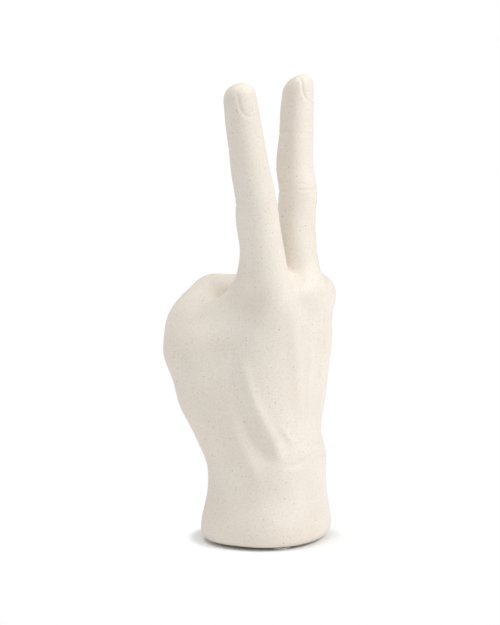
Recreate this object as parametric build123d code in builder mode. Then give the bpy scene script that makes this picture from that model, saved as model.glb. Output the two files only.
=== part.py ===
"""Ceramic ornament: a right hand standing on its wrist, first and second fingers raised in a V.

Millimetres. +Z is up, -Y is the back of the hand, +Y the palm, -X the thumb side and +X the
little-finger side. Sizes are measured from the wrist's upright axis. The finished pieces stand
with the middle of the whole ornament over the origin, on the table.
"""
from build123d import *
from math import cos, pi, sin
import os

os.makedirs("parts", exist_ok=True)

# ---- stands on the table
wrist_axis = (0.8, -9.2)    # where the wrist's axis stands in the finished frame
pad_height = 1.0
pad_radius = 5.0
pad_edge = 0.3
pad_reach_x = 20.0
pad_reach_y = 17.0

# ---- casting
floor_thickness = 6.0
vent_radius = 6.5

# ---- wrist and hand, one level a line:
# height, middle x, middle y, then how far the skin stands out towards the thumb side,
# the little-finger side, the back of the hand and the palm
hand_levels = [
    (pad_height, 0.2, 0, 32.2, 32.2, 28.6, 28.4),
    (3.5, 0.2, 0, 34.6, 34.8, 31.0, 30.6),
    (8, 0.2, 0, 35.5, 35.6, 31.9, 31.4),
    (16, 0.3, 0, 34.0, 34.4, 30.7, 30.2),
    (26, 0.4, 0, 32.2, 32.8, 29.4, 28.7),
    (40, 0.4, 0, 31.8, 33.0, 28.6, 29.2),
    (50, 0.6, 0, 31.6, 33.8, 27.6, 30.6),
    (60, 0.8, 0, 31.4, 35.6, 27.0, 32.2),
    (72, 1.2, 0, 31.2, 38.2, 26.9, 33.6),
    (84, 1.6, 0, 31.2, 41.0, 27.6, 34.3),
    (96, 2.2, 0, 31.2, 42.9, 28.3, 34.4),
    (108, 3.0, 0, 30.6, 43.2, 28.2, 33.4),
    (116, 3.6, 0, 28.4, 40.2, 26.2, 31.0),
    (122.5, 4.2, -1, 24.4, 34.6, 22.5, 26.6),
]
hand_fullness = 2.3
# the hollow inside it, which follows the skin and closes below the knuckles
hollow_levels = [
    (pad_height + floor_thickness, 0.2, 0, 27.5, 27.5, 24.5, 24.0),
    (25, 0.4, 0, 26.5, 27.1, 23.8, 23.2),
    (40, 0.5, 0, 26.2, 27.6, 23.0, 23.6),
    (54, 0.6, 0, 25.8, 29.0, 22.2, 24.6),
    (67, 1.0, 0, 25.6, 31.2, 21.8, 25.6),
    (80, 1.4, 0, 25.4, 33.6, 21.8, 26.4),
    (95, 2.2, 0, 25.0, 35.4, 22.0, 26.6),
    (102, 2.6, 0, 24.4, 34.6, 21.4, 26.0),
    (109, 3.0, 0, 23.2, 33.0, 20.4, 24.8),
]

# ---- the two raised fingers: a straight bone line, and sections across it, one a line:
# distance from the knuckle, half breadth, towards the nail side, towards the pad side.
# The last ones round the tip over.
first_finger_line = ((-18.5, -11.2, 127), (-45.2, -6.6, 231), (-0.36, -1, 0))
first_finger_stations = [
    (-26, 9.8, 9.8, 11.0), (-13, 10.4, 10.1, 11.8), (0, 10.8, 10.4, 12.4), (9, 10.7, 10.1, 12.7),
    (18, 10.4, 9.7, 12.9), (26, 10.2, 9.4, 13.0), (39, 9.9, 9.4, 12.9),
    (50, 9.8, 9.4, 11.2), (62, 9.3, 8.4, 11.3), (76, 8.8, 7.4, 10.9), (88, 8.5, 7.0, 10.6),
    (99, 8.1, 6.6, 9.6), (103.4, 7.5, 6.1, 8.8), (106, 6.1, 5.0, 7.1), (107.9, 3.6, 3.0, 4.2),
]
second_finger_line = ((2.0, -16.2, 129), (13.8, -12.4, 235), (-0.03, -1, 0))
second_finger_stations = [
    (-28, 9.8, 9.8, 10.0), (-14, 10.4, 10.5, 10.7), (0, 10.8, 11.0, 11.2), (9, 10.7, 10.4, 11.4),
    (18, 10.5, 9.8, 11.5), (26, 10.2, 9.4, 11.5), (40, 9.8, 8.9, 10.6),
    (50, 9.7, 9.2, 10.2), (57, 9.4, 8.1, 11.0), (66, 9.2, 7.0, 11.4), (77, 8.8, 6.9, 10.6),
    (88, 8.5, 6.8, 10.0), (98, 8.2, 6.6, 9.2), (102.2, 7.6, 6.1, 8.5), (105, 6.1, 5.0, 6.9),
    (107, 3.6, 3.0, 4.1),
]

# ---- the bent digits, one section a line:
# middle, direction of travel, nail side, half breadth, towards the nail side, towards the pad side
third_finger_sections = [
    ((21, -12, 103), (0, 0, 1), (0, -1, 0), 10.5, 10.5, 10.5),
    ((22.8, -14.4, 122.8), (-0.10, 0.70, 0.71), (0.05, -0.70, 0.71), 11.6, 12.8, 10.0),
    ((18, 10, 122.6), (-0.20, 0.98, -0.02), (0, 0, 1), 11.0, 11.4, 10.8),
    ((12.8, 34.0, 121.2), (-0.13, 0.57, -0.80), (0, 0.80, 0.57), 10.8, 12.4, 10.0),
    ((12.6, 31.2, 110.5), (0, -0.28, -0.96), (0, 0.96, -0.28), 10.2, 9.8, 10.0),
    ((12.5, 27.0, 100.0), (-0.04, -0.58, -0.81), (0, 0.81, -0.58), 9.4, 9.8, 8.5),
    ((11, 13, 91), (-0.08, -0.82, -0.57), (0, 0.57, -0.82), 8.2, 7.4, 7.0),
]
fourth_finger_sections = [
    ((31.5, -3, 96), (0.3, -0.1, 1), (0.2, -1, 0), 8.8, 8.8, 8.8),
    ((38.5, -7.0, 112.6), (-0.10, 0.70, 0.71), (0.05, -0.70, 0.71), 11.0, 12.4, 9.5),
    ((34.5, 11, 113), (-0.21, 0.98, -0.03), (0, 0, 1), 10.3, 10.8, 10.2),
    ((30.6, 28.4, 112), (-0.13, 0.57, -0.80), (0, 0.80, 0.57), 9.8, 11.2, 9.4),
    ((30, 25.4, 102), (0, -0.30, -0.95), (0, 0.95, -0.30), 9.2, 8.9, 9.2),
    ((29.5, 21.4, 91.6), (-0.1, -0.60, -0.79), (0, 0.79, -0.60), 8.6, 8.8, 8.0),
    ((27, 11, 84), (-0.17, -0.77, -0.62), (0, 0.62, -0.77), 7.4, 6.8, 6.4),
]
thumb_sections = [
    ((-12, 7, 46), (-0.14, 0.42, 0.90), (-0.9, 0.3, 0), 10.4, 10.6, 10.4),
    ((-17.4, 21.6, 72), (-0.06, 0.42, 0.90), (-0.9, 0.3, 0), 13.6, 13.2, 14.0),
    ((-18.2, 30.4, 92.5), (-0.02, 0.38, 0.92), (-0.9, 0.35, 0), 14.0, 13.4, 14.8),
    ((-14.6, 35.2, 103.4), (0.55, 0.42, 0.72), (-0.72, 0.62, 0.30), 13.4, 13.2, 13.4),
    ((-4, 38.6, 109.6), (0.88, 0.28, 0.38), (-0.20, 0.92, 0.35), 12.0, 11.2, 13.0),
    ((8, 40.6, 112.6), (0.98, 0.10, 0.16), (-0.03, 0.94, 0.34), 11.0, 9.6, 11.6),
    ((20, 41.2, 113.9), (0.99, 0.03, 0.10), (0.02, 0.95, 0.3), 9.8, 8.0, 9.6),
    ((29.8, 41.2, 114.8), (0.99, 0.0, 0.09), (0.02, 0.95, 0.3), 4.6, 3.8, 4.2),
]
steps_in_a_bend = 3    # bands to each length of a bent digit

# ---- muscle that fills the angle between the thumb and the first finger: its outline seen from the
# thumb side (y, z), and slices through it: x, and the share of the whole outline there
web_outline = [(-16, 58), (-17.5, 90), (-15, 116), (8, 120.5), (31, 113), (41, 100), (36, 75), (18, 50)]
web_middle = (10, 88)
web_slices = [(-30, 0.5), (-28.5, 0.74), (-25.5, 0.89), (-21, 0.97), (-14, 1.0), (-5, 0.97)]


def outline_points(minus_x, plus_x, minus_y, plus_y, fullness=2.0):
    """Eight points of a closed outline with its own reach on each of the four sides."""
    points = []
    for step in range(8):
        c, s = cos(step * pi / 4), sin(step * pi / 4)
        along_x = (plus_x if c > 0 else -minus_x) * abs(c) ** (2 / fullness)
        along_y = (plus_y if s > 0 else -minus_y) * abs(s) ** (2 / fullness)
        points.append((along_x, along_y))
    return points


def with_steps_between(rows, steps):
    """The driving rows with more rows between them, on a smooth curve through them all."""
    filled = []
    for i in range(len(rows) - 1):
        before, near, far, after = rows[max(i - 1, 0)], rows[i], rows[i + 1], rows[min(i + 2, len(rows) - 1)]
        for step in range(steps):
            t = step / steps
            filled.append(tuple(
                0.5 * (2 * n + (f - b) * t + (2 * b - 5 * n + 4 * f - a) * t**2 + (3 * n - b - 3 * f + a) * t**3)
                for b, n, f, a in zip(before, near, far, after)))
    return filled + [rows[-1]]


def across_digit(middle, travel, nail):
    """The plane across a digit: its normal runs along the digit, its X points to the nail side."""
    travel, nail = Vector(*travel).normalized(), Vector(*nail)
    return Plane(origin=middle, x_dir=nail - travel * nail.dot(travel), z_dir=travel)


digits = []

# ---- raised fingers, each one loft along its straight bone line
for (knuckle, tip, nail), stations in ((first_finger_line, first_finger_stations),
                                       (second_finger_line, second_finger_stations)):
    travel = (Vector(*tip) - Vector(*knuckle)).normalized()
    with BuildPart() as raised_finger:
        for distance, half_breadth, to_nail, to_pad in stations:
            with BuildSketch(across_digit(Vector(*knuckle) + travel * distance, tuple(travel), nail)):
                with BuildLine():
                    Spline(*outline_points(to_pad, to_nail, half_breadth, half_breadth), periodic=True)
                make_face()
        loft(ruled=True)
    digits.append(raised_finger.part)

# ---- bent digits: each length is a run of sections, and neighbouring runs share an end section
for sections in (third_finger_sections, fourth_finger_sections, thumb_sections):
    rows = with_steps_between([(*middle, *travel, *nail, *reach) for middle, travel, nail, *reach in sections],
                              steps_in_a_bend)
    with BuildPart() as bent_digit:
        for start in range(0, len(rows) - 1, steps_in_a_bend):
            for row in rows[start:start + steps_in_a_bend + 1]:
                half_breadth, to_nail, to_pad = row[9:]
                with BuildSketch(across_digit(row[0:3], row[3:6], row[6:9])):
                    with BuildLine():
                        Spline(*outline_points(to_pad, to_nail, half_breadth, half_breadth), periodic=True)
                    make_face()
            loft(ruled=True)
    digits.append(bent_digit.part)

with BuildPart() as thumb_web:
    for at_x, share in web_slices:
        with BuildSketch(Plane(origin=(at_x, *web_middle), x_dir=(0, 1, 0), z_dir=(1, 0, 0))):
            with BuildLine():
                Spline(*[((y - web_middle[0]) * share, (z - web_middle[1]) * share) for y, z in web_outline],
                       periodic=True)
            make_face()
    loft(ruled=True)

# ---- the fired casting
with BuildPart() as ceramic_hand:
    for height, mid_x, mid_y, *reach in hand_levels:
        with BuildSketch(Plane(origin=(mid_x, mid_y, height))):
            with BuildLine():
                Spline(*outline_points(*reach, hand_fullness), periodic=True)
            make_face()
    loft(ruled=True)
    add([thumb_web.part] + digits, clean=False)
    # the hollow left when the slip is poured out, and the hole it leaves by
    for height, mid_x, mid_y, *reach in hollow_levels:
        with BuildSketch(Plane(origin=(mid_x, mid_y, height))):
            with BuildLine():
                Spline(*outline_points(*reach, hand_fullness), periodic=True)
            make_face()
    loft(ruled=True, mode=Mode.SUBTRACT, clean=False)
    with BuildSketch(Plane.XY.offset(pad_height)):
        Circle(vent_radius)
    extrude(amount=floor_thickness + 2, mode=Mode.SUBTRACT, clean=False)
    ceramic_hand.part.label = "ceramic_hand"

to_frame = Location((wrist_axis[0], wrist_axis[1], 0))
ceramic_hand.part.move(to_frame)
export_step(ceramic_hand.part, "parts/ceramic_hand.step")

# ---- four stick-on pads, each with its lower edge taken off
for number, (side_x, side_y) in enumerate(((-1, -1), (1, -1), (1, 1), (-1, 1)), start=1):
    with BuildPart() as foot_pad:
        with BuildSketch(Plane.XY):
            with Locations((side_x * pad_reach_x, side_y * pad_reach_y)):
                Circle(pad_radius)
        extrude(amount=pad_height)
        chamfer(foot_pad.faces().sort_by(Axis.Z)[0].edges(), length=pad_edge)
        foot_pad.part.label = f"foot_pad_{number}"
    foot_pad.part.move(to_frame)
    export_step(foot_pad.part, f"parts/foot_pad_{number}.step")
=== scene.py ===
"""Ceramic hand ornament: a slip-cast stoneware hand with two fingers raised, on four stick-on pads.

The casting is sculpted as a field of distances from its skin, nails, tendons and creases included, and the
mesh is drawn round that field. Lengths in the form, detail and meshing parts are millimetres from the wrist's
own axis: x to the little finger's side, y out of the palm, z up. The rest of the script is in metres.
"""

import math

import bmesh
import bpy
import numpy as np
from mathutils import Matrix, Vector


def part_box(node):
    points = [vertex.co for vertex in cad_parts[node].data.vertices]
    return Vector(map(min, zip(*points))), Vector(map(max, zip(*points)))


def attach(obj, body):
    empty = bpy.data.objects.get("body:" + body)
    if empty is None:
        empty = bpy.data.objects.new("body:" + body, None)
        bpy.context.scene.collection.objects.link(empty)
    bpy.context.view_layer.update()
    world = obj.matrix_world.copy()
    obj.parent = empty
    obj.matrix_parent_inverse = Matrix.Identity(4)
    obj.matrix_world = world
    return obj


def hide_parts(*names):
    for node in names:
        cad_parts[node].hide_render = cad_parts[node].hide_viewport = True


bl_info = {
    "name": "Ceramic hand ornament",
    "version": (1, 0, 0),
    "blender": (4, 5, 0),
    "location": "View3D > Sidebar > Ornament",
    "description": "Sculpts a speckled stoneware hand, its foot pads and a plain studio",
    "category": "Object",
}

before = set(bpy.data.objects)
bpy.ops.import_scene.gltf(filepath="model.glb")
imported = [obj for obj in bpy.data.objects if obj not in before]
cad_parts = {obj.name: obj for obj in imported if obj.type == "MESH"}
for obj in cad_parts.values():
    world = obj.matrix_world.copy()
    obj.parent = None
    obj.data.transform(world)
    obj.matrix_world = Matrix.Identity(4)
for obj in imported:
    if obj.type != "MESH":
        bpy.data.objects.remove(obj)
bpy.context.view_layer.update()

# ---- form: helpers -------------------------------------------------------------------------------
REAL = np.float32       # single precision is enough for the field, and takes half the memory


def point(*values):
    return np.array(values, REAL)


def direction(values):
    values = np.asarray(values, REAL)
    return values / np.linalg.norm(values)


def join(a, b, softness):
    """Two forms as one, with clay smoothed into the angle between them."""
    mix = np.clip(0.5 + 0.5 * (b - a) / softness, 0, 1)
    return b + (a - b) * mix - softness * mix * (1 - mix)


def cut(a, b, softness):
    """What lies in both forms, with the edge between them rounded."""
    return -join(-a, -b, softness)


def swell(value, low, high):
    """0 below low, 1 above high, and a smooth rise between."""
    t = np.clip((value - low) / (high - low), 0, 1)
    return t * t * (3 - 2 * t)


def square_to(along, nail_side):
    """The direction of nail_side, turned square to a digit that runs along."""
    nail = np.asarray(nail_side, REAL)
    return direction(nail - along * float(nail @ along))


def smooth_columns(x, stations):
    """Each column of the stations at x, on a natural cubic curve; the first column is the place."""
    rows = np.array(stations, np.float64)
    xs, ys = rows[:, 0], rows[:, 1:]
    count, gap = len(xs), np.diff(xs)
    system, right = np.eye(count), np.zeros_like(ys)
    for i in range(1, count - 1):
        system[i, i - 1:i + 2] = gap[i - 1], 2 * (gap[i - 1] + gap[i]), gap[i]
        right[i] = 6 * ((ys[i + 1] - ys[i]) / gap[i] - (ys[i] - ys[i - 1]) / gap[i - 1])
    bend = np.linalg.solve(system, right).astype(REAL)
    xs, ys, gap = xs.astype(REAL), ys.astype(REAL), gap.astype(REAL)
    i = np.clip(np.searchsorted(xs, x, side="right") - 1, 0, count - 2)
    after, span = x - xs[i], gap[i]
    before = span - after
    return [
        (m[i] * before**3 + m[i + 1] * after**3) / (6 * span)
        + (y[i] / span - m[i] * span / 6) * before
        + (y[i + 1] / span - m[i + 1] * span / 6) * after
        for m, y in zip(bend.T, ys.T)
    ]


def from_reach(scaled, distance, thinnest, core=0.35):
    """About how far a point is from a form's skin, given how far it is from the middle, as a share of the
    form's reach that way and as a distance. In the core, a share of the thinnest reach is near enough."""
    scaled = scaled + 1e-6
    return np.where(scaled > core, distance * (1 - 1 / scaled), -thinnest * (1 - scaled)).astype(REAL)


def raised_finger(p, base, tip, nail_side, stations, tip_length, tip_tilt, root_length=8.0, squareness=2.4):
    """A straight finger with a domed tip that stands higher on its nail side by tip_tilt.

    Each station has its distance, half breadth, and reach to the nail side and to the pad side.
    """
    base, tip = point(*base), point(*tip)
    along = direction(tip - base)
    nail = square_to(along, nail_side)
    q = p - base
    z = q @ along
    first, last = stations[0][0], stations[-1][0]
    held = np.clip(z, first, last)
    half, to_nail, to_pad = smooth_columns(held, stations)
    across, up = q @ np.cross(along, nail), q @ nail
    depth = np.where(up > 0, to_nail, to_pad)
    # the tilt comes in over the last few millimetres
    z = z - tip_tilt * up * swell(z, last - 9, last + 5)
    over = np.where(z > held, np.maximum(z - last, 0), z - held)
    end = np.where(over > 0, tip_length, root_length).astype(REAL)
    scaled = (((across / half) ** 2 + (up / depth) ** 2) ** (squareness / 2)
              + (np.abs(over) / end) ** squareness) ** (1 / squareness)
    return from_reach(scaled, np.sqrt(across**2 + up**2 + over**2), np.minimum(np.minimum(half, depth), end))


def limb(p, a, b, half_a, half_b, thick_a, thick_b, nail_side, belly=0.0):
    """A tapered round-ended length from a to b, fuller by belly on the side away from nail_side."""
    a, b = point(*a), point(*b)
    along = b - a
    length = float(np.linalg.norm(along))
    along = along / length
    nail = square_to(along, nail_side)
    q = p - a
    z = q @ along
    t = np.clip(z / length, 0, 1)
    half = half_a + (half_b - half_a) * t
    bulge = 0.5 * belly * np.sin(np.pi * t)
    thick = thick_a + (thick_b - thick_a) * t + bulge
    across, up = q @ np.cross(along, nail), q @ nail + bulge
    over = z - t * length
    scaled = np.sqrt((across / half) ** 2 + (up / thick) ** 2 + (over / np.minimum(half, thick)) ** 2)
    return from_reach(scaled, np.sqrt(across**2 + up**2 + over**2), np.minimum(half, thick))


def ball(p, middle, radii):
    """An ellipsoid on the frame's own axes."""
    q = p - point(*middle)
    scaled = np.sqrt(((q / point(*radii)) ** 2).sum(-1))
    return from_reach(scaled, np.sqrt((q * q).sum(-1)), min(radii))


def trunk(p, levels, rounding, fullness):
    """An upright form. Each level has its height, middle x and y, and its reach to the thumb's side, the
    little finger's side, the back and the palm."""
    z = np.clip(p[:, 2], levels[0][0], levels[-1][0])
    mid_x, mid_y, thumb_side, little_side, back, palm = smooth_columns(z, levels)
    x, y = p[:, 0] - mid_x, p[:, 1] - mid_y
    reach_x, reach_y = np.where(x < 0, thumb_side, little_side), np.where(y < 0, back, palm)
    scaled = ((np.abs(x) / reach_x) ** fullness + (np.abs(y) / reach_y) ** fullness) ** (1 / fullness)
    side = from_reach(scaled, np.sqrt(x * x + y * y), np.minimum(reach_x, reach_y)) + rounding
    end = np.maximum(p[:, 2] - levels[-1][0], levels[0][0] - p[:, 2]) + rounding
    return np.minimum(np.maximum(side, end), 0) + np.hypot(np.maximum(side, 0), np.maximum(end, 0)) - rounding


def plate(p, middle_x, lean, half_thickness, outline, softness, rounding):
    """A thick plate on edge: a convex outline of y and z, standing each side of middle_x at height 90."""
    d = None
    for (y0, z0), (y1, z1) in zip(outline, outline[1:] + outline[:1]):
        out_y, out_z = direction((z0 - z1, y1 - y0))
        edge = (p[:, 1] - y0) * out_y + (p[:, 2] - z0) * out_z + rounding
        d = edge if d is None else cut(d, edge, softness)
    x = np.abs(p[:, 0] - middle_x - (p[:, 2] - 90) * lean) - half_thickness + rounding
    return np.minimum(np.maximum(d, x), 0) + np.hypot(np.maximum(d, 0), np.maximum(x, 0)) - rounding


def bent_digit(p, joints, halves, thicks, nail_sides, bellies, softness):
    """A finger or thumb as limbs from joint to joint."""
    d = None
    for i in range(len(joints) - 1):
        bone = limb(p, joints[i], joints[i + 1], halves[i], halves[i + 1], thicks[i], thicks[i + 1],
                    nail_sides[i], bellies[i])
        d = bone if d is None else join(d, bone, softness)
    return d


# ---- form: the hand's own measures ---------------------------------------------------------------
FIRST = dict(
    base=(-18.5, -11.2, 127), tip=(-45.2, -6.6, 231), nail_side=(-0.36, -1, 0), tip_length=9.3, tip_tilt=0.1,
    stations=[
        (-26, 8, 8, 9), (0, 10.4, 10, 12.2), (13, 10.4, 9.8, 12.8), (24, 10.3, 9.3, 13.2),
        (32, 10.1, 9.2, 13.3), (41, 9.9, 9.4, 13.2), (50, 9.8, 9.5, 11.0), (62, 9.3, 8.3, 11.4),
        (76, 8.8, 7.4, 10.9), (88, 8.5, 7.0, 10.6), (99.6, 8.1, 6.6, 9.6),
    ],
)
SECOND = dict(
    base=(2.0, -16.2, 129), tip=(13.8, -12.4, 235), nail_side=(-0.03, -1, 0), tip_length=8.5, tip_tilt=0.3,
    stations=[
        (-28, 8, 8, 8.5), (0, 10.4, 11, 11), (14, 10.3, 10.4, 11.4), (26, 10.2, 9.0, 11.6),
        (38, 9.8, 8.8, 10.8), (50, 9.8, 9.4, 10.0), (58, 9.4, 7.6, 11.4), (66, 9.2, 6.8, 11.6),
        (77, 8.8, 6.9, 10.4), (88, 8.5, 6.8, 10.0), (98.5, 8.2, 6.6, 8.9),
    ],
)
THIRD = dict(
    joints=[(22.8, -14.8, 123.2), (12.5, 35.2, 121.3), (12.5, 29.5, 101), (11, 14.5, 89)],
    halves=[11.4, 10.4, 9.2, 8], thicks=[11.2, 11.3, 9, 7.6],
    nail_sides=[(0.1, -0.1, 1), (0, 1, 0.3), (0, 0.6, -1)], bellies=[0, 1, 1.5], softness=3,
)
FOURTH = dict(
    joints=[(38.1, -7.5, 113), (30.5, 29.5, 112.5), (29.5, 25, 92.5), (27, 12.5, 81)],
    halves=[10.8, 9.4, 8.4, 7.4], thicks=[11, 9.4, 8.2, 7],
    nail_sides=[(0.1, -0.1, 1), (0, 1, 0.3), (0, 0.6, -1)], bellies=[0, 1, 1.5], softness=3,
)
THUMB = dict(
    joints=[(-15, 9, 52), (-17.8, 23.2, 76), (-18.4, 31.6, 98), (-10, 36.4, 107.5), (2, 38.8, 111.3),
            (21, 40.6, 114)],
    halves=[12.0, 12.7, 12.8, 12.2, 10.8, 9.6], thicks=[12.0, 12.7, 12.8, 12.2, 10.8, 8.4],
    nail_sides=[(-1, -0.3, 0.3), (-1, -0.3, 0.3), (-0.7, 0.5, 0.7), (-0.5, 0.7, 0.9), (-0.1, 1, 0.5)],
    bellies=[0, 0, 0, 0, 1], softness=7,
)
WRIST_AND_PALM = [
    (1, 0.2, 0, 34.4, 34.4, 31.0, 30.8), (6, 0.2, 0, 35.4, 35.6, 31.8, 31.4),
    (16, 0.3, 0, 34.0, 34.2, 30.9, 30.2), (25, 0.4, 0, 32.2, 32.8, 29.6, 28.4),
    (34, 0.4, 0, 31.8, 32.8, 29.2, 28.0), (44, 0.4, 0, 31.8, 33.0, 28.8, 28.0),
    (54, 0.6, 0, 31.4, 33.5, 25.9, 29.0), (66, 1.0, 0, 31.0, 36.4, 26.4, 30.5),
    (80, 1.4, 0, 31.0, 40.2, 27.4, 30.5), (94, 2.0, 0, 31.2, 42.7, 28.6, 30.0),
    (108, 3.0, 0, 30.5, 43.2, 28.4, 27.0), (122, 4.0, 0, 26.0, 39.0, 23.0, 20.0),
]
# the flat between thumb and first finger, as y and z round its edge
WEB_OUTLINE = [(-16, 56), (-17, 100), (-14, 120), (8, 118), (32, 112), (42, 102), (36, 74), (20, 50)]


def hand_form(p):
    """The hand without its fine detail."""
    p = p.astype(REAL)
    d = trunk(p, WRIST_AND_PALM, rounding=4, fullness=2.25)

    # the cushions of the palm at the thumb's root and at the little finger's side
    thenar = limb(p, (-8, 13, 58), (-4, 22, 86), 14, 14, 13, 14, (-0.3, 1, 0))
    hypothenar = limb(p, (21, 10, 54), (27, 12, 82), 14, 13, 15, 13.5, (0.3, 1, 0))
    d = join(d, join(thenar, hypothenar, 6), 12)

    # the flat between thumb and first finger, and the fold of skin along its upper edge
    d = join(d, plate(p, -16.8, -0.02, 13.0, WEB_OUTLINE, 10, 12.5), 14)
    d = join(d, limb(p, (-23, -4, 136), (-13, 15, 118), 4.6, 7.2, 4.6, 7.2, (-1, 0, 0)), 7)

    # the row of knuckles, highest under the second finger
    first_knuckle, second_knuckle = (-15, -12, 116), (6, -15, 119)
    third_knuckle, fourth_knuckle = THIRD["joints"][0], FOURTH["joints"][0]
    knuckles = limb(p, first_knuckle, second_knuckle, 9, 9, 10.4, 10.8, (0, -1, 0))
    knuckles = join(knuckles, limb(p, second_knuckle, third_knuckle, 9, 10.6, 10.8, 11.4, (0, -1, 0)), 6)
    knuckles = join(knuckles, limb(p, third_knuckle, fourth_knuckle, 10.6, 10.4, 11.4, 10.8, (0.3, -1, 0)), 6)
    d = join(d, join(knuckles, ball(p, (3, -20, 124), (9, 10.2, 9)), 5), 8)

    # the raised fingers, with flesh between their knuckles and behind the folded ones
    d = join(d, join(raised_finger(p, **FIRST), raised_finger(p, **SECOND), 5), 14)
    d = join(d, join(ball(p, (-5, -20, 126.5), (9, 8.5, 7.5)), ball(p, (7, 24, 111), (10, 10, 10)), 3), 7)
    d = join(d, ball(p, (18, 10, 104), (24, 24, 22)), 5)
    d = join(d, join(bent_digit(p, **THIRD), bent_digit(p, **FOURTH), 1.8), 3.2)

    # the thumb grows out of the palm at its root, and only rests on the folded fingers at its tip
    thumb_filler = limb(p, (8, 35.6, 121.8), (-4.5, 35.2, 113.6), 10, 11, 10, 11, (0, 1, 0.5))
    thumb = join(bent_digit(p, **THUMB), thumb_filler, 8)
    return join(d, thumb, 2.2 + 11 * (1 - swell(p[:, 0], -18, 2)))


# ---- detail: how far the skin stands proud of the plain form -----------------------------------------
THUMB_END = dict(base=THUMB["joints"][-2], tip=THUMB["joints"][-1], nail_side=THUMB["nail_sides"][-1])
# each raised finger, where its nail starts and ends, and where its middle and end joints are along it
NAILS_AND_JOINTS = ((FIRST, 93.2, 108.5, 50, 76), (SECOND, 93.6, 109.0, 50, 77))


def on_finger(p, finger):
    """Across, out on the nail side and along, measured in a straight finger from its base."""
    base, tip = point(*finger["base"]), point(*finger["tip"])
    along = direction(tip - base)
    nail = square_to(along, finger["nail_side"])
    q = p - base
    return q @ np.cross(along, nail), q @ nail, q @ along


def nail_relief(across, out, along, low, high, half_width, depth, squareness=2.6):
    """A nail plate with the groove that runs down its sides and round its root, open at the fingertip."""
    plate_height, fold_height, fold_out = 0.14, 0.14, 1.3
    middle, half_length = (low + high) / 2, (high - low) / 2
    scaled = ((np.abs(across) / half_width) ** squareness
              + (np.abs(along - middle) / half_length) ** squareness) ** (1 / squareness)
    edge = (scaled - 1) * half_width
    groove = -depth * np.exp(-((edge / 0.5) ** 2)) + fold_height * np.exp(-(((edge - fold_out) / 0.8) ** 2))
    plate_shape = plate_height * (1 - swell(edge, -0.6, 0.4))
    return (groove * (1 - swell(along, high - 5, high - 2.5)) + plate_shape) * swell(out, 0.5, 3.0)


def crease(along, across, place, bow, depth, width, side=8):
    """A fold across a finger, bowed towards the tip by bow at the finger's side."""
    return -depth * np.exp(-(((along - place - bow * (across / side) ** 2) / width) ** 2))


def line_distance(p, path):
    """How far a point lies from a run of straight lengths, and how far along the run it is, 0 to 1."""
    best, where, run = None, None, 0.0
    path = [point(*q) for q in path]
    total = sum(float(np.linalg.norm(b - a)) for a, b in zip(path, path[1:]))
    for a, b in zip(path, path[1:]):
        along = b - a
        length = float(np.linalg.norm(along))
        t = np.clip((p - a) @ along / length**2, 0, 1)
        d = np.linalg.norm(p - a - t[:, None] * along, axis=1)
        place = (run + t * length) / total
        if best is None:
            best, where = d, place
        else:
            where = np.where(d < best, place, where)
            best = np.minimum(best, d)
        run += length
    return best, where


def ridge(p, path, height, width, fade=0.25):
    """A tendon or furrow under the skin along a path, fading out at both ends."""
    d, where = line_distance(p, path)
    return height * np.exp(-((d / width) ** 2)) * swell(where, 0, fade) * (1 - swell(where, 1 - fade, 1))


def finger_detail(p):
    """The nails of the raised fingers and the thumb, and the creases at their joints."""
    relief = np.zeros(len(p), REAL)
    for finger, low, high, joint, end_joint in NAILS_AND_JOINTS:
        across, out, along = on_finger(p, finger)
        near = (np.hypot(across, out) < 16) & (along > 20)
        if not near.any():
            continue
        a, o, z = across[near], out[near], along[near]
        back, front = swell(o, 1, 5), swell(-o, 0, 4)
        r = nail_relief(a, o, z, low, high, half_width=6.0, depth=0.4)
        # the fine folds over the middle joint: place from the joint, bow and depth
        for shift, bow, depth in ((-2.6, -1.4, 0.12), (-0.6, -0.4, 0.2), (1.3, 0.8, 0.16)):
            r += back * crease(z, a, joint + shift, bow, depth, 0.55)
        r += back * crease(z, a, end_joint, 0.4, 0.1, 0.6)
        # the folds on the pad side, a deeper and a fainter one at the middle joint and one at the end joint
        r += front * (crease(z, a, joint - 1.0, -0.8, 0.4, 0.9) + crease(z, a, joint + 1.8, 0.6, 0.2, 0.6))
        r += front * crease(z, a, end_joint + 0.5, 0.5, 0.25, 0.7)
        relief[near] += r
    across, out, along = on_finger(p, THUMB_END)
    near = (np.hypot(across, out) < 14) & (along > -8) & (out > 0)
    a, o, z = across[near], out[near], along[near]
    relief[near] += nail_relief(a, o, z, low=12.0, high=29.0, half_width=6.9, depth=0.34)
    relief[near] += swell(o, 1, 5) * sum(crease(z, a, at, 0.5, 0.14, 0.6) for at in (-1.8, 0, 1.8))
    return relief


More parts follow.
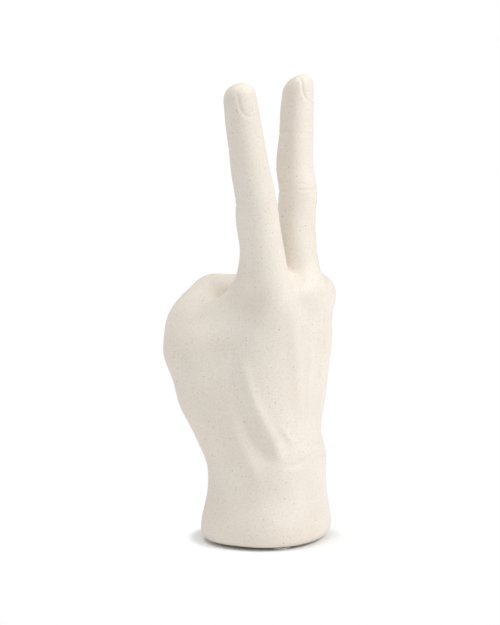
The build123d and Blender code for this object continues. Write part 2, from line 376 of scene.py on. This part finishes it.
# Tendons and folds: the run over the skin, the height (below 0 is a furrow), the width, and the share of
# the run that fades out at each end
RELIEF = (
    # the two tendons that stand up at the root of the thumb, and the furrow between them
    ([(-31.8, -0.4, 98), (-33.0, -4.8, 83.3), (-32.3, -8.6, 73.4), (-30.2, -12.9, 64.4),
      (-27.2, -16.9, 54.7), (-23.6, -20.6, 43)], 1.6, 2.9, 0.15),
    ([(-33.8, 2.4, 96), (-33.4, -0.6, 82), (-32.9, -3.8, 70), (-31.2, -8.2, 58.5),
      (-28.4, -13.6, 47), (-26.2, -16.6, 41)], -2.3, 3.8, 0.22),
    ([(-33.2, 5, 71), (-32.7, 1.6, 59), (-31.2, -3.0, 48), (-30.3, -8.4, 37), (-29.6, -11.6, 29)],
     1.6, 3.2, 0.35),
    # wrist fold, and the short tendons above it
    ([(-25.5, -18, 41.6), (-17.7, -24.8, 42.8), (-7.5, -27.9, 44.6), (6.9, -28.2, 44.6), (18, -26, 43)],
     -1.4, 1.7, 0.25),
    ([(-20, -23.5, 47.5), (-7.5, -28, 49.5), (6.9, -28.2, 50)], 0.6, 2.6, 0.35),
    ([(-26.2, -17.6, 64.5), (-21.1, -21.9, 57.1), (-14.8, -25, 50.2)], 0.75, 1.7, 0.45),
    # tendons along the back of the hand, and the furrow beside the middle one
    ([(-21.5, -22.8, 132), (-20, -24.2, 106), (-15.5, -25, 80), (-12, -26, 58)], 0.8, 3.4, 0.3),
    ([(-8, -27.5, 118), (-9, -28.4, 99.9), (-7.2, -27.5, 73.7), (-6.2, -27.0, 52)], 0.6, 1.8, 0.3),
    ([(2.6, -30.4, 128), (2.4, -30.8, 108.7), (6.5, -28.9, 90.2), (11.3, -26.6, 69)], -1.9, 1.6, 0.35),
    ([(-1.5, -30.6, 126), (-1.6, -31, 108.7), (2.5, -29.4, 90.2), (7.3, -27.2, 69)], 0.9, 2.0, 0.3),
    ([(9.5, -27.5, 86), (6.6, -27, 68.1), (5.4, -26.9, 52)], 0.4, 1.5, 0.4),
    ([(20, -25, 126), (18, -25.5, 104), (14, -26, 76)], 0.6, 2.2, 0.4),
    ([(34, -16, 114), (29, -18, 92), (21, -22, 66)], 0.6, 2.4, 0.4),
)
# Shallow hollows by the first finger's root, below the web and between the knuckles: middle, depth and width
HOLLOWS = (((-31, -7.5, 130), 0.4, 6.5), ((-34, 3, 101), 1.1, 8.0), ((12, -30, 120), 0.8, 5.0),
           ((29, -22, 113), 0.9, 5.0))


def skin_detail(p):
    """The tendons, folds and hollows of the hand's skin."""
    raised = sum(ridge(p, *line) for line in RELIEF)
    return raised - sum(depth * np.exp(-((p - point(*middle)) ** 2).sum(-1) / width**2)
                        for middle, depth, width in HOLLOWS)


def casting_field(p, pad_height, vent_radius, vent_depth=20, edge_softness=1.2, vent_softness=0.8):
    """The finished skin, cut flat above the pads, with the hole that the slip was poured out by."""
    d = hand_form(p) - finger_detail(p) - skin_detail(p)
    d = cut(d, pad_height - p[:, 2], edge_softness)
    vent = np.maximum(np.hypot(p[:, 0], p[:, 1]) - vent_radius, p[:, 2] - vent_depth)
    return cut(d, -vent, vent_softness)


# ---- meshing -------------------------------------------------------------------------------------
def ceramic_axis():
    """Where the wrist's axis stands in the shared frame, in millimetres: midway between two opposite pads."""
    low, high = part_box("foot_pad_1")[0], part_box("foot_pad_3")[1]
    return (low.x + high.x) / 2 * 1000, (low.y + high.y) / 2 * 1000


def in_slices(field, points, size=60000):
    """The field at many points, worked out a slice at a time to save memory."""
    return np.concatenate([field(points[i:i + size]) for i in range(0, len(points), size)])


def sample_field(field, low, high, step, block=4):
    """Field values on a grid, worked out only near the surface; elsewhere a coarse value keeps the sign."""
    cells = [int(math.ceil((h - l) / (step * block))) for l, h in zip(low, high)]
    axes = [l + (np.arange(n) + 0.5) * step * block for l, n in zip(low, cells)]
    coarse = np.stack(np.meshgrid(*axes, indexing="ij"), -1).reshape(-1, 3).astype(REAL)
    values = in_slices(field, coarse).reshape(cells)
    near = np.abs(values) < step * block * 1.25
    for axis in range(3):
        values, near = np.repeat(values, block, axis), np.repeat(near, block, axis)
    places = np.argwhere(near)
    values = values.astype(REAL)
    values[near] = in_slices(field, (np.array(low) + places * step).astype(REAL))
    return values


def surface_net(values, low, step):
    """One vertex in each cell that the surface crosses, and a quad round each crossed grid edge."""
    inside = values < 0
    count = np.zeros(tuple(n - 1 for n in values.shape), np.int8)
    corners = [(i, j, k) for i in (0, 1) for j in (0, 1) for k in (0, 1)]
    for i, j, k in corners:
        count += inside[i:inside.shape[0] - 1 + i, j:inside.shape[1] - 1 + j, k:inside.shape[2] - 1 + k]
    active = (count > 0) & (count < 8)
    cells = np.argwhere(active)
    number = np.full(active.shape, -1, np.int64)
    number[active] = np.arange(len(cells))
    total, crossings = np.zeros((len(cells), 3)), np.zeros(len(cells))
    for a in corners:
        for axis in range(3):
            if a[axis]:
                continue
            b = tuple(1 if n == axis else c for n, c in enumerate(a))
            fa, fb = values[tuple((cells + a).T)], values[tuple((cells + b).T)]
            crossed = (fa < 0) != (fb < 0)
            t = np.where(crossed, fa / np.where(crossed, fa - fb, 1), 0)
            total += (np.array(a) + t[:, None] * np.eye(3)[axis]) * crossed[:, None]
            crossings += crossed
    vertices = np.array(low) + (cells + total / crossings[:, None]) * step
    quads = []
    for axis in range(3):
        u, v = (axis + 1) % 3, (axis + 2) % 3
        first = np.take(inside, range(inside.shape[axis] - 1), axis)
        second = np.take(inside, range(1, inside.shape[axis]), axis)
        edges = np.argwhere(first != second)
        edges = edges[(edges[:, u] > 0) & (edges[:, v] > 0)]
        leaving = first[tuple(edges.T)]
        ring = []
        for du, dv in ((-1, -1), (0, -1), (0, 0), (-1, 0)):
            cell = edges.copy()
            cell[:, u] += du
            cell[:, v] += dv
            ring.append(number[tuple(cell.T)])
        ring = np.stack(ring, 1)
        ring[~leaving] = ring[~leaving][:, ::-1]
        quads.append(ring)
    return vertices, np.concatenate(quads)


def slope(field, p, reach=0.15):
    """Field value and its upward direction at each point."""
    value = in_slices(field, p)
    steps = np.eye(3, dtype=REAL) * reach
    grade = np.stack([in_slices(field, p + s) - in_slices(field, p - s) for s in steps], -1) / (2 * reach)
    return value, grade


def settle(field, vertices, rounds=2, longest=0.6):
    """Vertices moved onto the surface along its own normal, by no more than longest in a round."""
    p = vertices.astype(REAL)
    for _ in range(rounds):
        value, grade = slope(field, p)
        length = np.maximum((grade**2).sum(1), 0.2)
        move = np.clip(value / length, -longest, longest)
        p = p - grade * move[:, None]
    return p


def relax(field, vertices, edges, rounds, rate=0.5):
    """Spreads the vertices evenly without leaving the surface."""
    p = vertices.astype(np.float64)
    a, b = edges.T
    degree = np.bincount(a, minlength=len(p)) + np.bincount(b, minlength=len(p))
    _, grade = slope(field, p.astype(REAL), reach=0.4)
    normal = grade / np.linalg.norm(grade, axis=1, keepdims=True)
    for _ in range(rounds):
        total = [np.bincount(a, p[b, c], len(p)) + np.bincount(b, p[a, c], len(p)) for c in range(3)]
        move = (np.stack(total, 1) / degree[:, None] - p) * rate
        move -= normal * (move * normal).sum(1)[:, None]
        p = p + move
    return p


def wants_finer(p):
    """Where the detail is finer than the main mesh: nails, the creases at the joints, and narrow folds."""
    fine = np.zeros(len(p), bool)
    # each raised finger, with the spans along it of its middle joint, its end joint and its nail
    for finger, *spans in ((FIRST, (45, 56), (73, 80), (87, 108)), (SECOND, (45, 56), (74, 81), (88, 108))):
        across, out, along = on_finger(p, finger)
        close = np.hypot(across, out) < 14
        for low, high in spans:
            fine |= close & (along > low) & (along < high)
    for path, _, width, _ in RELIEF:
        if width < 2:
            fine |= line_distance(p, path)[0] < 3.5
    thumb_nail, nail_reach = point(*THUMB_END["tip"]) + point(-2, 8, 4), 13
    return fine | (np.linalg.norm(p - thumb_nail, axis=1) < nail_reach)


def place_vertices(bm, places):
    for v, place in zip(bm.verts, places):
        v.co = place


def sculpt_mesh(name, field, low, high, step):
    """A mesh of the field, in metres in the shared frame."""
    vertices, quads = surface_net(sample_field(field, low, high, step), low, step)
    mesh = bpy.data.meshes.new(name)
    bm = bmesh.new()
    for v in vertices:
        bm.verts.new(v)
    bm.verts.ensure_lookup_table()
    bm.verts.index_update()
    for q in quads:
        bm.faces.new([bm.verts[i] for i in q])
    edges = np.array([[v.index for v in e.verts] for e in bm.edges])
    place_vertices(bm, settle(field, relax(field, vertices, edges, rounds=6)))
    bm.faces.ensure_lookup_table()
    fine = wants_finer(np.array([f.calc_center_median() for f in bm.faces], REAL))
    chosen = {e for f, want in zip(bm.faces, fine) if want for e in f.edges}
    bmesh.ops.subdivide_edges(bm, edges=list(chosen), cuts=1, use_grid_fill=True)
    place_vertices(bm, settle(field, np.array([v.co for v in bm.verts], REAL)))
    axis = ceramic_axis()
    for v in bm.verts:
        v.co = ((v.co.x + axis[0]) / 1000, (v.co.y + axis[1]) / 1000, v.co.z / 1000)
    bm.normal_update()
    bm.to_mesh(mesh)
    bm.free()
    mesh.polygons.foreach_set("use_smooth", [True] * len(mesh.polygons))
    return mesh


# ---- materials -----------------------------------------------------------------------------------
class Nodes:
    """A node tree, with short ways to add and join its nodes."""

    def __init__(self, tree):
        self.tree = tree
        self.tree.nodes.clear()
        self.count = 0

    def feed(self, socket, value):
        if isinstance(value, bpy.types.NodeSocket):
            self.tree.links.new(value, socket)
        else:
            socket.default_value = value

    def add(self, kind, settings=None, **inputs):
        """A new node. Its inputs are given by name, with _ for a space, or by number as _0, _1 and so on."""
        node = self.tree.nodes.new(kind)
        self.count += 1
        node.location = (self.count % 8 * 220, -(self.count // 8) * 260)
        for key, value in (settings or {}).items():
            setattr(node, key, value)
        for key, value in inputs.items():
            self.feed(node.inputs[int(key[1:]) if key[0] == "_" else key.replace("_", " ")], value)
        return node

    def math(self, operation, *values):
        inputs = {f"_{i}": v for i, v in enumerate(values)}
        return self.add("ShaderNodeMath", {"operation": operation}, **inputs).outputs[0]

    def ramp(self, value, low, high, out_low=0.0, out_high=1.0):
        return self.add("ShaderNodeMapRange", {"interpolation_type": "SMOOTHSTEP"}, Value=value, From_Min=low,
                        From_Max=high, To_Min=out_low, To_Max=out_high).outputs[0]

    def mix(self, factor, a, b):
        """Colour a where factor is 0, and colour b where it is 1."""
        return self.add("ShaderNodeMix", {"data_type": "RGBA"}, _0=factor, _6=a, _7=b).outputs[2]


def linear(red, green, blue):
    """A linear colour from display values of 0 to 255, all above 10, by the upper part of the sRGB curve."""
    return tuple(((c / 255 + 0.055) / 1.055) ** 2.4 for c in (red, green, blue)) + (1.0,)


def opaque(colour):
    return tuple(colour) + (1.0,)


def new_material(name):
    material = bpy.data.materials.new(name)
    material.use_nodes = True
    return material


def stoneware(settings):
    """Warm white satin stoneware with iron speckle."""
    material = new_material("speckled_stoneware")
    n = Nodes(material.node_tree)
    place = n.add("ShaderNodeTexCoord").outputs["Object"]
    cloud = n.add("ShaderNodeTexNoise", Vector=place, Scale=38.0, Detail=3.0, Roughness=0.5).outputs["Fac"]
    grain = n.add("ShaderNodeTexNoise", Vector=place, Scale=1100.0, Detail=2.0, Roughness=0.7).outputs["Fac"]
    body = n.mix(n.ramp(cloud, 0.35, 0.65), opaque(settings.body_shade), opaque(settings.body))
    body = n.mix(n.ramp(grain, 0.38, 0.72, 0.0, 0.2), body, opaque(settings.fleck_tan))
    # cells to the metre, the share of them with a fleck, its largest size in the cell, colour and strength
    for scale, share, size, colour, strength in (
        (760.0, 0.45, 0.30, settings.fleck_tan, 0.55),
        (420.0, 0.22, 0.19, settings.fleck_grey, 0.5),
        (300.0, 0.16, 0.13, settings.fleck_rust, 0.7),
        (150.0, 0.16, 0.085, settings.fleck_rust, 0.85),
    ):
        cells = n.add("ShaderNodeTexVoronoi", Vector=place, Scale=scale * settings.speckle, Randomness=1.0)
        pick = n.add("ShaderNodeSeparateColor", Color=cells.outputs["Color"])
        chosen = n.math("LESS_THAN", pick.outputs[0], share)
        radius = n.math("MULTIPLY_ADD", pick.outputs[1], 0.6 * size, 0.4 * size)
        spot = n.ramp(cells.outputs["Distance"], n.math("MULTIPLY", radius, 0.55), radius, 1.0, 0.0)
        factor = n.math("MULTIPLY", n.math("MULTIPLY", chosen, spot), strength)
        body = n.mix(factor, body, opaque(colour))
    rough = n.ramp(cloud, 0.3, 0.7, settings.roughness - 0.05, settings.roughness + 0.07)
    pits = n.add("ShaderNodeTexNoise", Vector=place, Scale=700.0, Detail=3.0, Roughness=0.6).outputs["Fac"]
    bump = n.add("ShaderNodeBump", Height=pits, Strength=0.06, Distance=0.0004).outputs[0]
    shader = n.add("ShaderNodeBsdfPrincipled", Base_Color=body, Roughness=rough, Normal=bump)
    shader.inputs["Specular IOR Level"].default_value = 0.42
    n.add("ShaderNodeOutputMaterial", Surface=shader.outputs[0])
    return material


def clear_rubber(settings):
    """Frosted stick-on pad."""
    material = new_material("frosted_pad")
    n = Nodes(material.node_tree)
    place = n.add("ShaderNodeTexCoord").outputs["Object"]
    haze = n.add("ShaderNodeTexNoise", Vector=place, Scale=300.0, Detail=4.0).outputs["Fac"]
    colour = n.mix(n.ramp(haze, 0.3, 0.7), opaque(settings.colour_shade), opaque(settings.colour))
    rough = n.ramp(haze, 0.3, 0.7, 0.45, 0.6)
    bump = n.add("ShaderNodeBump", Height=haze, Strength=0.1, Distance=0.0002).outputs[0]
    shader = n.add("ShaderNodeBsdfPrincipled", Base_Color=colour, Roughness=rough, Normal=bump)
    n.add("ShaderNodeOutputMaterial", Surface=shader.outputs[0])
    return material


def studio_paper(settings):
    """White floor: shaded near the ornament, and plain white to the camera further off."""
    material = new_material("studio_paper")
    n = Nodes(material.node_tree)
    place = n.add("ShaderNodeTexCoord").outputs["Object"]
    foot = [c / 1000 for c in ceramic_axis()] + [0]
    away = n.add("ShaderNodeVectorMath", {"operation": "DISTANCE"}, _0=place, _1=foot).outputs["Value"]
    far = n.ramp(away, settings.paper_near, settings.paper_far)
    seen = n.math("MULTIPLY", far, n.add("ShaderNodeLightPath").outputs["Is Camera Ray"])
    tone = n.add("ShaderNodeTexNoise", Vector=place, Scale=40.0, Detail=2.0).outputs["Fac"]
    colour = n.mix(tone, linear(247, 247, 247), linear(250, 250, 250))
    matt = n.add("ShaderNodeBsdfDiffuse", Color=colour).outputs[0]
    glow = n.add("ShaderNodeEmission", Color=(1, 1, 1, 1), Strength=1.0).outputs[0]
    mixed = n.add("ShaderNodeMixShader", _0=seen, _1=matt, _2=glow).outputs[0]
    n.add("ShaderNodeOutputMaterial", Surface=mixed)
    return material


# ---- settings ------------------------------------------------------------------------------------
def colour_setting(name, description, red, green, blue):
    """A colour property, from display values of 0 to 255."""
    return bpy.props.FloatVectorProperty(name=name, description=description, subtype="COLOR", size=3,
                                         default=linear(red, green, blue)[:3])


def length_setting(name, description, metres):
    return bpy.props.FloatProperty(name=name, description=description, default=metres, unit="LENGTH")


def number_setting(name, description, value):
    return bpy.props.FloatProperty(name=name, description=description, default=value)


class CastingSettings(bpy.types.PropertyGroup):
    mesh_step: bpy.props.FloatProperty(name="Mesh step", description="Spacing of the mesh, in millimetres",
                                       default=1.25, min=0.6, max=4.0)
    vent_radius: length_setting("Vent radius", "Radius of the pouring hole underneath", 0.0065)
    body: colour_setting("Body", "Fired body colour", 231, 224, 214)
    body_shade: colour_setting("Body shade", "Slightly darker clouds in the body", 227, 219, 208)
    fleck_tan: colour_setting("Tan fleck", "Fine tan speckle", 196, 172, 140)
    fleck_rust: colour_setting("Rust fleck", "Orange-brown iron speckle", 178, 128, 74)
    fleck_grey: colour_setting("Grey fleck", "Dark grey-brown speckle", 126, 108, 92)
    speckle: number_setting("Speckle density", "Finer and denser above 1", 1.0)
    roughness: number_setting("Roughness", "Dullness of the fired surface", 0.5)


class PadSettings(bpy.types.PropertyGroup):
    edge: length_setting("Edge", "Chamfer of the pad's lower edge", 0.0003)
    colour: colour_setting("Colour", "Frosted pad colour", 214, 210, 203)
    colour_shade: colour_setting("Shade", "Cloudy part of the pad", 196, 192, 184)


class StageSettings(bpy.types.PropertyGroup):
    azimuth: number_setting("Azimuth", "Camera's turn round the ornament, in degrees", -65.0)
    elevation: number_setting("Elevation", "Camera's height angle, in degrees", 7.0)
    distance: length_setting("Distance", "Camera to the wrist's axis", 1.15)
    aim_height: length_setting("Aim height", "Height on the wrist's axis that the camera looks at", 0.12)
    shift_left: length_setting("Shift left", "How far the camera then moves to its left", 0.0081)
    shift_down: length_setting("Shift down", "How far the camera then moves down", 0.00405)
    lens: number_setting("Lens", "Focal length in millimetres", 130.75)
    paper_near: length_setting("Shadow reach", "Floor shows its shadow up to here", 0.036)
    paper_far: length_setting("White from", "Floor is plain white beyond this", 0.041)
    key: number_setting("Lamps", "Power of the soft lamps", 10.4)
    fill: number_setting("Room light", "Strength of the even light", 0.595)


# ---- pieces --------------------------------------------------------------------------------------
PAD_NODES = ("foot_pad_1", "foot_pad_2", "foot_pad_3", "foot_pad_4")
PAD_SIDES = 48


class ORNAMENT_OT_casting(bpy.types.Operator):
    """Sculpt the fired hand casting"""

    bl_idname = "ornament.casting"
    bl_label = "Hand casting"

    def execute(self, context):
        settings = context.scene.ornament_casting
        low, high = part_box("ceramic_hand")
        axis = ceramic_axis()
        pad_height = low.z * 1000

        def field(p):
            return casting_field(p, pad_height, settings.vent_radius * 1000)

        margin = 4.0        # millimetres of clear grid round the casting
        corner = (low.x * 1000 - axis[0] - margin, low.y * 1000 - axis[1] - margin, pad_height - margin)
        top = (high.x * 1000 - axis[0] + margin, high.y * 1000 - axis[1] + margin, high.z * 1000 + margin)
        mesh = sculpt_mesh("hand_casting", field, corner, top, settings.mesh_step)
        casting = bpy.data.objects.new("hand_casting", mesh)
        context.scene.collection.objects.link(casting)
        mesh.materials.append(stoneware(settings))
        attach(casting, "root")
        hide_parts("ceramic_hand")
        return {"FINISHED"}


class ORNAMENT_OT_pads(bpy.types.Operator):
    """Set the four stick-on pads under the foot"""

    bl_idname = "ornament.pads"
    bl_label = "Foot pads"

    def execute(self, context):
        settings = context.scene.ornament_pads
        boxes = [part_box(name) for name in PAD_NODES]
        radius, height = (boxes[0][1].x - boxes[0][0].x) / 2, boxes[0][1].z - boxes[0][0].z
        places = [((a.x + b.x) / 2, (a.y + b.y) / 2, a.z) for a, b in boxes]
        mesh = bpy.data.meshes.new("foot_pads")
        mesh.from_pydata(places, [], [])
        pads = bpy.data.objects.new("foot_pads", mesh)
        context.scene.collection.objects.link(pads)
        tree = pad_tree(clear_rubber(settings))
        modifier = pads.modifiers.new("pads", "NODES")
        modifier.node_group = tree
        named = {item.name: item.identifier for item in tree.interface.items_tree if item.in_out == "INPUT"}
        modifier[named["Radius"]] = radius
        modifier[named["Height"]] = height
        modifier[named["Edge"]] = settings.edge
        turned = bpy.data.meshes.new_from_object(pads.evaluated_get(context.evaluated_depsgraph_get()))
        pads.modifiers.clear()
        pads.data = turned
        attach(pads, "root")
        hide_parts(*PAD_NODES)
        return {"FINISHED"}


def pad_tree(material):
    """One pad with a chamfered lower edge, set on each of the given points."""
    tree = bpy.data.node_groups.new("stick_on_pads", "GeometryNodeTree")
    face = tree.interface
    face.new_socket("Places", in_out="INPUT", socket_type="NodeSocketGeometry")
    for name in ("Radius", "Height", "Edge"):
        face.new_socket(name, in_out="INPUT", socket_type="NodeSocketFloat")
    face.new_socket("Pads", in_out="OUTPUT", socket_type="NodeSocketGeometry")
    n = Nodes(tree)
    given = n.add("NodeGroupInput").outputs
    radius, edge = given["Radius"], given["Edge"]
    straight = n.math("SUBTRACT", given["Height"], edge)
    body = n.add("GeometryNodeMeshCylinder", Vertices=PAD_SIDES, Radius=radius, Depth=straight)
    lower = n.add("GeometryNodeMeshCone", Vertices=PAD_SIDES, Radius_Top=radius,
                  Radius_Bottom=n.math("SUBTRACT", radius, edge), Depth=edge)
    middle = n.add("ShaderNodeCombineXYZ", Z=n.math("MULTIPLY_ADD", straight, 0.5, edge)).outputs[0]
    raised = n.add("GeometryNodeTransform", Geometry=body.outputs["Mesh"], Translation=middle).outputs[0]
    pad = n.add("GeometryNodeJoinGeometry", _0=raised)
    n.feed(pad.inputs[0], lower.outputs["Mesh"])
    copies = n.add("GeometryNodeInstanceOnPoints", Points=given["Places"], Instance=pad.outputs[0]).outputs[0]
    pads = n.add("GeometryNodeRealizeInstances", _0=copies).outputs[0]
    painted = n.add("GeometryNodeSetMaterial", Geometry=pads, Material=material).outputs[0]
    n.add("NodeGroupOutput", _0=painted)
    return tree


def set_camera(scene, settings, middle, back, right, up):
    camera = bpy.data.objects.new("camera", bpy.data.cameras.new("camera"))
    camera.data.lens = settings.lens
    camera.data.sensor_width = 36.0
    camera.data.clip_start = 0.05
    shift = right * settings.shift_left + up * settings.shift_down
    camera.location = middle + back * settings.distance - shift
    camera.rotation_euler = (-back).to_track_quat("-Z", "Y").to_euler()
    scene.collection.objects.link(camera)
    scene.camera = camera


def set_lamps(scene, settings, middle, back, right, up, size=0.8):
    """Two soft round lamps, each with its direction from the ornament, its power and its distance."""
    for name, towards, power, away in (
        ("key_lamp", right * 0.8 + up * 0.62 + back * 0.38, settings.key * 1.05, 1.5),
        ("top_lamp", up * 1.0 + back * 0.2 - right * 0.2, settings.key * 0.9, 1.6),
    ):
        data = bpy.data.lights.new(name, "AREA")
        data.shape, data.size, data.energy = "DISK", size, power
        lamp = bpy.data.objects.new(name, data)
        lamp.location = middle + towards.normalized() * away
        lamp.rotation_euler = towards.to_track_quat("Z", "Y").to_euler()
        scene.collection.objects.link(lamp)


def lay_floor(scene, settings, radius=6.0):
    mesh = bpy.data.meshes.new("studio_floor")
    bm = bmesh.new()
    bmesh.ops.create_circle(bm, cap_ends=True, segments=96, radius=radius)
    bm.to_mesh(mesh)
    bm.free()
    mesh.materials.append(studio_paper(settings))
    floor = bpy.data.objects.new("studio_floor", mesh)
    scene.collection.objects.link(floor)


def light_room(scene, settings):
    """Even light from all round, which the camera sees as plain white."""
    world = bpy.data.worlds.new("studio_room")
    scene.world = world
    world.use_nodes = True
    n = Nodes(world.node_tree)
    path = n.add("ShaderNodeLightPath").outputs
    seen = n.math("MAXIMUM", path["Is Camera Ray"], path["Is Transmission Ray"])
    strength = n.add("ShaderNodeMapRange", Value=seen, To_Min=settings.fill, To_Max=1.0).outputs[0]
    light = n.add("ShaderNodeBackground", Color=(1, 1, 1, 1), Strength=strength).outputs[0]
    n.add("ShaderNodeOutputWorld", Surface=light)


class ORNAMENT_OT_stage(bpy.types.Operator):
    """Set the floor, the soft lamps and the camera"""

    bl_idname = "ornament.stage"
    bl_label = "Studio stage"

    def execute(self, context):
        scene, settings = context.scene, context.scene.ornament_stage
        axis = ceramic_axis()
        middle = Vector((axis[0] / 1000, axis[1] / 1000, settings.aim_height))
        a, e = math.radians(settings.azimuth), math.radians(settings.elevation)
        back = Vector((math.sin(a) * math.cos(e), -math.cos(a) * math.cos(e), math.sin(e)))
        right = (-back).cross(Vector((0, 0, 1))).normalized()
        up = right.cross(-back)
        set_camera(scene, settings, middle, back, right, up)
        set_lamps(scene, settings, middle, back, right, up)
        lay_floor(scene, settings)
        light_room(scene, settings)
        scene.view_settings.view_transform = "Standard"
        return {"FINISHED"}


class ORNAMENT_PT_panel(bpy.types.Panel):
    """Sidebar list of the ornament's pieces"""

    bl_label = "Ceramic hand ornament"
    bl_space_type = "VIEW_3D"
    bl_region_type = "UI"
    bl_category = "Ornament"

    def draw(self, context):
        for group, operator in (("ornament_casting", "ornament.casting"), ("ornament_pads", "ornament.pads"),
                                ("ornament_stage", "ornament.stage")):
            box = self.layout.box()
            settings = getattr(context.scene, group)
            for name in settings.__annotations__:
                box.prop(settings, name)
            box.operator(operator)


GROUPS = {"ornament_casting": CastingSettings, "ornament_pads": PadSettings, "ornament_stage": StageSettings}
CLASSES = (*GROUPS.values(), ORNAMENT_OT_casting, ORNAMENT_OT_pads, ORNAMENT_OT_stage, ORNAMENT_PT_panel)


def register():
    for cls in CLASSES:
        bpy.utils.register_class(cls)
    for name, cls in GROUPS.items():
        setattr(bpy.types.Scene, name, bpy.props.PointerProperty(type=cls))


def unregister():
    for name in GROUPS:
        delattr(bpy.types.Scene, name)
    for cls in reversed(CLASSES):
        bpy.utils.unregister_class(cls)


def main():
    register()
    bpy.ops.ornament.stage()
    bpy.ops.ornament.casting()
    bpy.ops.ornament.pads()


if __name__ == "__main__":
    main()
